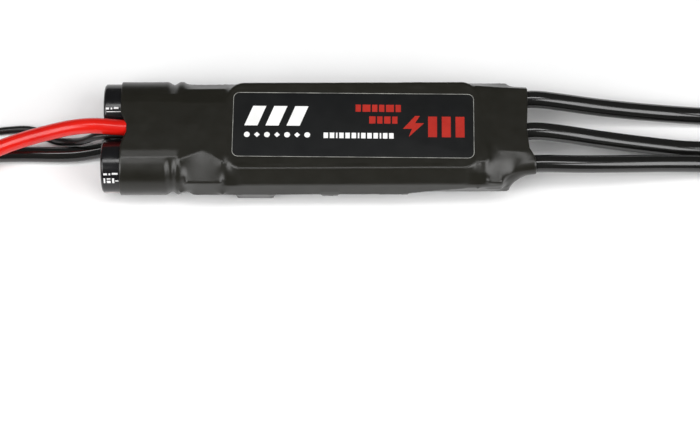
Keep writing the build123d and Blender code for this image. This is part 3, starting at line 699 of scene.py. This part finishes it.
# The grain and depth of each kind of ripple
RIPPLES = [(2.4 * MM, 0.018 * MM), (7.0 * MM, 0.04 * MM)]

# The film under the label is over this height, and within this distance of the middle
FLAT_TOP = 11.2 * MM
FLAT_HALF = 8 * MM


def rippled(points, normals):
    """Small uneven ripples of the film, fewer under the label."""
    moved = points.copy()
    for row in range(points.shape[0]):
        for column in range(points.shape[1]):
            place = Vector(points[row, column])
            height = sum(
                depth * noise.noise(Vector((place.x / grain, place.y / grain, place.z / grain)))
                for grain, depth in RIPPLES
            )
            if place.z > FLAT_TOP and abs(place.y) < FLAT_HALF:
                height = -abs(height) * 0.3
            moved[row, column] += normals[row, column] * height
    return moved


sleeve_rings = np.stack(relaxed_sleeve(), axis=2)
sleeve_normals = grid_normals(sleeve_rings)
outer = rippled(sleeve_rings, sleeve_normals)
outer[:, :, 2] = np.maximum(outer[:, :, 2], 0.02 * MM)
inner = outer - sleeve_normals * WALL


def lip(edge_row, way):
    """Rings that round the cut edge of the film, from its outer to its inner face."""
    rings = []
    for share in (0.12, 0.5, 0.88):
        bulge = 0.09 * MM * math.sin(math.pi * share)
        ring = outer[edge_row] * (1 - share) + inner[edge_row] * share
        rings.append(ring + np.array([way * bulge, 0, 0]))
    return rings


shell_rings = [*outer, *lip(-1, 1), *inner[::-1], *lip(0, -1)[::-1]]
shell = np.array(shell_rings).reshape(-1, 3)
add_piece("sleeve_shrunk", shell, ring_faces(len(shell_rings), AROUND), SLEEVE_FILM,
          sharp=80, replaces=("heat_shrink_sleeve",))


# ---------------------------------------------------------------- label
LABEL_LOW, LABEL_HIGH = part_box("label_sticker")
LABEL_CENTRE = (LABEL_LOW + LABEL_HIGH) / 2
LABEL_LENGTH = 45.8 * MM
LABEL_WIDTH = 13.5 * MM
LABEL_CORNER = 1.2 * MM
LABEL_TURN = math.radians(-0.8)
LABEL_TOP = LABEL_HIGH.z

# The label's outlines from its underside up: how much smaller than the label, and how far under its top
LABEL_EDGE = ((0, 0.12 * MM), (0, 0.03 * MM), (0.05 * MM, 0.005 * MM), (0.14 * MM, 0))


def on_label(u, v, height):
    """A point u along and v across the label from its middle, at a height over its top."""
    return (
        LABEL_CENTRE.x + u * math.cos(LABEL_TURN) - v * math.sin(LABEL_TURN),
        LABEL_CENTRE.y + u * math.sin(LABEL_TURN) + v * math.cos(LABEL_TURN),
        LABEL_TOP + height,
    )


def rounded_outline(length, width, corner, steps=10):
    """Points round a rectangle with round corners."""
    outline = []
    for quarter, (sx, sy) in enumerate(((1, 1), (-1, 1), (-1, -1), (1, -1))):
        for angle in np.linspace(quarter * math.pi / 2, (quarter + 1) * math.pi / 2, steps):
            outline.append((
                sx * (length / 2 - corner) + corner * math.cos(angle),
                sy * (width / 2 - corner) + corner * math.sin(angle),
            ))
    return outline


def stacked_outlines(name, outlines_and_heights, material, replaces=()):
    """A thin piece on the label: outlines one above the other, closed at top and bottom."""
    count = len(outlines_and_heights[0][0])
    vertices = [on_label(u, v, h) for outline, h in outlines_and_heights for u, v in outline]
    faces = grid_faces(len(outlines_and_heights), count, True)
    faces.append(tuple(range(count))[::-1])
    faces.append(tuple(range((len(outlines_and_heights) - 1) * count, len(vertices))))
    return add_piece(name, vertices, faces, material, sharp=35, replaces=replaces)


stacked_outlines(
    "label_printed",
    [
        (rounded_outline(LABEL_LENGTH - smaller, LABEL_WIDTH - smaller, LABEL_CORNER), -under)
        for smaller, under in LABEL_EDGE
    ],
    LABEL_FILM, replaces=("label_sticker",),
)

# The print stands this far over the label, and reaches this far into it
INK = 0.012 * MM
INK_ROOT = 0.01 * MM


def edge_line_frame(name, length, width, corner, line, material):
    """A light grey line that runs round the label's edge."""
    outside = rounded_outline(length, width, corner)
    inside = rounded_outline(length - 2 * line, width - 2 * line, corner - line)
    rings = [(outside, -INK_ROOT), (outside, INK), (inside, INK), (inside, -INK_ROOT)]
    vertices = [on_label(u, v, h) for outline, h in rings for u, v in outline]
    return add_piece(name, vertices, ring_faces(4, len(outside)), material, sharp=35)


edge_line_frame("label_border", LABEL_LENGTH - 0.05 * MM, LABEL_WIDTH - 0.05 * MM, LABEL_CORNER, 0.11 * MM,
          LABEL_EDGE_GREY)


def ink_shapes(name, outlines, material):
    """Flat printed shapes in one piece, each a closed outline of points on the label in millimetres."""
    vertices, faces = [], []
    for outline in outlines:
        start, count = len(vertices), len(outline)
        for height in (-INK_ROOT, INK):
            vertices += [on_label(u * MM, v * MM, height) for u, v in outline]
        faces += grid_faces(2, count, True, start)
        faces.append([start + k for k in range(count)][::-1])
        faces.append([start + count + k for k in range(count)])
    return add_piece(name, vertices, faces, material, sharp=35)


def slanted_bar(u, v, length, width, slant):
    """A bar that leans by slant, given by its middle."""
    return [
        (u - length / 2 - slant, v - width / 2), (u + length / 2 - slant, v - width / 2),
        (u + length / 2 + slant, v + width / 2), (u - length / 2 + slant, v + width / 2),
    ]


def disc(u, v, radius, sides=20):
    """A round or many-sided dot."""
    return [
        (u + radius * math.cos(2 * math.pi * k / sides), v + radius * math.sin(2 * math.pi * k / sides))
        for k in range(sides)
    ]


def row_of_bars(u_start, u_end, v, height, widths, gap=0.32):
    """Plain bars side by side where a line of print would be, repeating the given widths."""
    outlines, u, number = [], u_start, 0
    while u + widths[number % len(widths)] <= u_end:
        width = widths[number % len(widths)]
        outlines.append(slanted_bar(u + width / 2, v, width, height, 0.0))
        u += width + gap
        number += 1
    return outlines


ink_shapes("label_emblem_bars", [slanted_bar(-18.6 + 4.0 * k, 1.8, 2.5, 4.1, 0.8) for k in range(3)],
           WHITE_INK)
ink_shapes("label_small_marks",
           [disc(-20.1 + 1.9 * k, -2.15, 0.55, 24 if k % 2 == 0 else 4) for k in range(7)]
           + row_of_bars(-5.6, 8.4, -2.2, 1.15, (0.85, 0.85, 0.3, 0.85)), WHITE_INK)
ink_shapes("label_red_lines",
           row_of_bars(0.4, 9.0, 3.55, 1.5, (1.0, 1.5, 1.0)) + row_of_bars(3.0, 9.0, 1.1, 1.5, (1.2, 1.0)),
           RED_INK)
BOLT = [(0.3, 2.2), (-2.0, -0.5), (-0.3, -0.5), (-0.9, -2.2), (2.0, 0.7), (0.3, 0.7), (1.2, 2.2)]
ink_shapes("label_red_bolt", [[(11.4 + u, -0.2 + v) for u, v in BOLT]], RED_INK)
ink_shapes("label_red_blocks",
           [slanted_bar(15.0 + 2.6 * k, -0.25, 1.7, 4.3, 0.0) for k in range(3)], RED_INK)


# ---------------------------------------------------------------- capacitors
def turned_piece(name, profile, centre, turns, material, replaces=()):
    """A closed profile of (x, radius) turned round an axis along X through centre."""
    angles = [2 * math.pi * k / turns for k in range(turns)]
    vertices = [
        (centre[0] + x, centre[1] + r * math.cos(a), centre[2] + r * math.sin(a))
        for x, r in profile for a in angles
    ]
    return add_piece(name, vertices, ring_faces(len(profile), turns), material, sharp=50,
                     replaces=replaces)


def printed_patch(name, centre, radius, x_from, x_to, angles, material):
    """Print on a capacitor's jacket between two angles, in degrees from +Y."""
    columns = max(2, int((angles[1] - angles[0]) / 3))
    vertices = []
    for lift in (-INK_ROOT, INK):
        for x in (x_from, x_to):
            for angle in np.radians(np.linspace(angles[0], angles[1], columns)):
                vertices.append((x, centre[1] + (radius + lift) * math.cos(angle),
                                 centre[2] + (radius + lift) * math.sin(angle)))
    faces = grid_faces(2, columns, False, 0, True) + grid_faces(2, columns, False, 2 * columns)
    rim = [*range(columns), *range(2 * columns - 1, columns - 1, -1)]
    faces += [
        (rim[k], rim[(k + 1) % len(rim)], 2 * columns + rim[(k + 1) % len(rim)], 2 * columns + rim[k])
        for k in range(len(rim))
    ]
    return add_piece(name, vertices, faces, material, sharp=40)


JACKET_WALL = 0.15 * MM
JACKET_EDGE = 0.55 * MM
END_HOLE = 4.0 * MM

# The can's end in that hole: a disc with a slight dish and a pressed vent of three grooves
DISC_RINGS, DISC_TURNS = 14, 96
DISC_RADIUS = END_HOLE - 0.05 * MM
DISC_FRONT = 0.055 * MM
DISC_BACK = 0.148 * MM
DISH = 0.03 * MM
VENT_ANGLES = (math.pi / 6, math.pi * 5 / 6, math.pi * 3 / 2)
VENT_DEPTH = 0.07 * MM
VENT_HALF = 0.3 * MM
VENT_HUB = 0.1 * MM
for side, (low, high) in JACKETS.items():
    centre = (low.x, (low.y + high.y) / 2, (low.z + high.z) / 2)
    radius = (high.z - low.z) / 2
    length = high.x - low.x
    outside = [
        (JACKET_EDGE - JACKET_EDGE * math.sin(a), radius - JACKET_EDGE + JACKET_EDGE * math.cos(a))
        for a in np.linspace(math.pi / 2, 0, 9)
    ]
    groove = [
        (GROOVE_AT + GROOVE_HALF * 1.3 * s, radius - GROOVE_DEPTH * (0.5 + 0.5 * math.cos(math.pi * s)))
        for s in np.linspace(-1, 1, 13)
    ]
    far = [(length - x, r) for x, r in outside[::-1]]
    lip_in = [(0.0, END_HOLE + 0.35 * MM), (0.03 * MM, END_HOLE + 0.06 * MM), (0.1 * MM, END_HOLE)]
    profile = (
        lip_in[::-1] + outside + groove + far
        + [(length, END_HOLE), (length - JACKET_WALL, END_HOLE)]
        + [(length - JACKET_WALL - 0.2 * MM, radius - JACKET_WALL - 0.25 * MM)]
        + [(x, r - JACKET_WALL) for x, r in groove[::-1]]
        + [(JACKET_WALL + 0.2 * MM, radius - JACKET_WALL - 0.25 * MM), (JACKET_WALL, END_HOLE)]
    )
    turned_piece(f"jacket_{side}", profile, centre, 96, JACKET_FILM,
                 replaces=(f"capacitor_jacket_{side}",))

    vertices = []
    for ring in range(DISC_RINGS + 1):
        r = DISC_RADIUS * ring / DISC_RINGS
        for k in range(DISC_TURNS):
            a = 2 * math.pi * k / DISC_TURNS
            nearest = min(abs((a - b + math.pi) % (2 * math.pi) - math.pi) for b in VENT_ANGLES)
            off_line = r * math.sin(min(nearest, math.pi / 2))
            groove_depth = VENT_DEPTH
            if r > VENT_HUB:
                groove_depth *= max(0, 1 - off_line / VENT_HALF)
            dish = DISH * (1 - (r / DISC_RADIUS) ** 2)
            vertices.append((low.x + DISC_FRONT - dish + groove_depth,
                             centre[1] + r * math.cos(a), centre[2] + r * math.sin(a)))
    faces = grid_faces(DISC_RINGS + 1, DISC_TURNS, True, 0, True)
    back = len(vertices)
    vertices += [(low.x + DISC_BACK, y, z) for _, y, z in vertices[-DISC_TURNS:]]
    rim_ring = DISC_RINGS * DISC_TURNS
    faces += [
        (rim_ring + (k + 1) % DISC_TURNS, rim_ring + k, back + k, back + (k + 1) % DISC_TURNS)
        for k in range(DISC_TURNS)
    ]
    faces.append(tuple(back + k for k in range(DISC_TURNS)))
    add_piece(f"can_end_{side}", vertices, faces, ALUMINIUM, sharp=30)


# Printed marks: the angles from +Y where each starts and ends, and its reach from the closed end
MARKS = {
    "front": (
        (130, 134, 0.6, 1.3), (130, 134, 1.6, 1.9), (129, 133, 2.2, 3.3), (141, 153, 0.6, 0.9),
        (141, 144, 1.2, 1.9), (147, 153, 1.2, 1.9), (141, 153, 2.2, 2.6), (146, 149, 2.8, 3.4),
    ),
    "rear": ((108, 112, 0.5, 1.1), (108, 112, 1.4, 1.7), (107, 111, 2.0, 2.9), (116, 117.5, 0.6, 12.0)),
}
STRIPES = {"front": (186, 214), "rear": (-40, -12)}
for side, marks in MARKS.items():
    low, high = JACKETS[side]
    centre = (low.x, (low.y + high.y) / 2, (low.z + high.z) / 2)
    radius = (high.z - low.z) / 2
    for number, (angle_from, angle_to, x_from, x_to) in enumerate(marks):
        printed_patch(f"jacket_mark_{side}_{number}", centre, radius, low.x + x_from * MM,
                      low.x + x_to * MM, (angle_from, angle_to), JACKET_PRINT)
    printed_patch(f"jacket_stripe_{side}", centre, radius, low.x + 0.5 * MM, low.x + 12.0 * MM,
                  STRIPES[side], JACKET_STRIPE)


# ---------------------------------------------------------------- lead ends, tie and plug
def strand_tube(path, radius, sides, start):
    """Vertices and faces of one round strand along a path, with its far end domed."""
    vertices, faces = [], []
    for index, point in enumerate(path):
        ahead = path[min(index + 1, len(path) - 1)] - path[max(index - 1, 0)]
        turn = ahead.to_track_quat("X", "Z")
        for k in range(sides):
            a = 2 * math.pi * k / sides
            vertices.append(point + turn @ Vector((0, radius * math.cos(a), radius * math.sin(a))))
    faces += grid_faces(len(path), sides, True, start)
    tip = path[-1] + (path[-1] - path[-2]).normalized() * radius * 0.6
    vertices.append(tip)
    last_ring = start + (len(path) - 1) * sides
    faces += [(last_ring + k, last_ring + (k + 1) % sides, start + len(vertices) - 1)
              for k in range(sides)]
    faces.append(tuple(start + k for k in range(sides))[::-1])
    return vertices, faces


# Along a stripped end the strands turn this far, in radians, and close up by this share
STRAND_STEPS = 24
STRAND_TWIST = 2.1
STRAND_TAPER = 0.05


def tinned_end(name, root, way, radius, length, node):
    """The stripped end of a lead: twisted strands, 1 in 6 in 12, soaked in solder at the tip."""
    vertices, faces = [], []
    strand = radius / 4.6
    for ring, count in ((0, 1), (1, 6), (2, 12)):
        for k in range(count):
            path = []
            for step in range(STRAND_STEPS + 1):
                share = step / STRAND_STEPS
                angle = 2 * math.pi * k / count + share * STRAND_TWIST
                spread = (radius - strand) / 2 * ring * (1 - STRAND_TAPER * share)
                path.append(Vector((
                    root[0] + way * (length - strand) * share,
                    root[1] + spread * math.cos(angle),
                    root[2] + spread * math.sin(angle),
                )))
            tube = strand_tube(path, strand, 10, len(vertices))
            vertices += tube[0]
            faces += tube[1]
    return add_piece(name, vertices, faces, TINNED, sharp=60, replaces=(node,))


STRIPPED = 6.0 * MM
tips = {
    name: tinned_end(f"tinned_end_{name}", ROUTES[route][-1], way, radius, STRIPPED, node)
    for name, route, way, radius, node in (
        ("red", "battery_lead_red", -1, 0.85 * MM, "battery_lead_tips"),
        ("black", "battery_lead_black", -1, 0.85 * MM, "battery_lead_tips"),
        ("motor_a", "motor_lead_a", 1, 1.0 * MM, "motor_lead_tips"),
        ("motor_b", "motor_lead_b", 1, 1.0 * MM, "motor_lead_tips"),
        ("motor_c", "motor_lead_c", 1, 1.0 * MM, "motor_lead_tips"),
    )
}

BOX_FACES = [(0, 1, 3, 2), (4, 6, 7, 5), (0, 4, 5, 1), (2, 3, 7, 6), (0, 2, 6, 4), (1, 5, 7, 3)]


def box_corners(low, high):
    """The eight corners of a box, in the order that BOX_FACES needs."""
    return [(x, y, z) for x in (low[0], high[0]) for y in (low[1], high[1]) for z in (low[2], high[2])]


def block(name, low, high, bevel, material, replaces=()):
    """A moulded block with rounded edges."""
    piece = add_piece(name, box_corners(low, high), BOX_FACES, material, replaces=replaces)
    rounding = piece.modifiers.new("rounded", "BEVEL")
    rounding.width = bevel
    rounding.segments = 3
    return piece


def cut(piece, boxes):
    """Takes boxes out of a piece."""
    for low, high in boxes:
        cutter_mesh = bpy.data.meshes.new("cutter")
        cutter_mesh.from_pydata(box_corners(low, high), [], BOX_FACES)
        cutter = bpy.data.objects.new("cutter", cutter_mesh)
        scene.collection.objects.link(cutter)
        opening = piece.modifiers.new("opening", "BOOLEAN")
        opening.operation = "DIFFERENCE"
        opening.object = cutter
        bpy.context.view_layer.update()
        evaluated = piece.evaluated_get(bpy.context.evaluated_depsgraph_get())
        shaped = bpy.data.meshes.new_from_object(evaluated)
        piece.modifiers.clear()
        piece.data = shaped
        bpy.data.objects.remove(cutter)


# The tie: a band round the waist of the hank, with its head and cut tail
TIE_WIDTH = 2.6 * MM
BAND_TOP = 3.8 * MM
BAND_EDGE = 0.3 * MM
WAIST_HALF = 2.25 * MM
HEAD_HALF = 1.7 * MM


def band_outline(outwards):
    """Points round the waist of the hank for a face of the band, that far outside the waist."""
    half_y, half_z = WAIST_HALF + outwards, BAND_TOP / 2 - TIE_WALL + outwards
    corner = min(1.1 * MM + outwards, half_z)
    return [(HANK_Y + y, BAND_TOP / 2 + z)
            for y, z in rounded_outline(2 * half_y, 2 * half_z, corner, 8)]


band_inside, band_outside = band_outline(0.02 * MM), band_outline(TIE_WALL)
half_band = TIE_WIDTH / 2
band_rings = [
    [(TIE_X + x, y, z) for y, z in outline]
    for x, outline in (
        (-half_band, band_inside), (-half_band, band_outside), (BAND_EDGE - half_band, band_outside),
        (half_band - BAND_EDGE, band_outside), (half_band, band_outside), (half_band, band_inside),
    )
]
tie_band = add_piece("tie_band", [v for ring in band_rings for v in ring],
                     ring_faces(len(band_rings), len(band_inside)), TIE_NYLON,
                     sharp=35, replaces=("hank_tie",))
tie_head = block("tie_head", (TIE_LOW.x, HANK_Y - HEAD_HALF, BAND_TOP - 0.05 * MM),
                 (TIE_HIGH.x, HANK_Y + HEAD_HALF, TIE_HIGH.z), 0.25 * MM, TIE_NYLON)
cut(tie_head, [((TIE_X - 1.0 * MM, HANK_Y - 0.6 * MM, BAND_TOP + 0.2 * MM),
                (TIE_X + 1.0 * MM, HANK_Y + 0.6 * MM, TIE_HIGH.z + 1 * MM))])
tie_tail = block("tie_tail", (TIE_X - 0.95 * MM, HANK_Y - 0.45 * MM, BAND_TOP + 0.2 * MM),
                 (TIE_X + 0.95 * MM, HANK_Y + 0.35 * MM, TIE_HIGH.z), 0.08 * MM, TIE_NYLON)

# The plug: a flat housing. Each of its three ways has a cavity from the cable's end and a hole for a
# pin from the other end, given by their reach and half width, and a latch window in the top.
PITCH = 2.54 * MM
CAVITY = (11.4 * MM, 0.8 * MM)
PIN_HOLE = (3.5 * MM, 0.45 * MM)
WINDOW_FROM, WINDOW_TO, WINDOW_HALF = 7.7 * MM, 5.3 * MM, 0.65 * MM
WINDOW_FLOOR = 0.3 * MM
CLEAR = 1 * MM
plug = block("plug_housing", PLUG_LOW, PLUG_HIGH, 0.28 * MM, PLUG_PLASTIC,
             replaces=("signal_plug_housing",))
cavities = []
for number in (-1, 0, 1):
    y = PLUG_Y + number * PITCH
    reach, half = CAVITY
    cavities.append(((PLUG_HIGH.x - reach, y - half, PLUG_Z - half),
                     (PLUG_HIGH.x + CLEAR, y + half, PLUG_Z + half)))
    reach, half = PIN_HOLE
    cavities.append(((PLUG_LOW.x - CLEAR, y - half, PLUG_Z - half),
                     (PLUG_LOW.x + reach, y + half, PLUG_Z + half)))
    cavities.append(((PLUG_HIGH.x - WINDOW_FROM, y - WINDOW_HALF, PLUG_Z + WINDOW_FLOOR),
                     (PLUG_HIGH.x - WINDOW_TO, y + WINDOW_HALF, PLUG_HIGH.z + CLEAR)))
cut(plug, cavities)
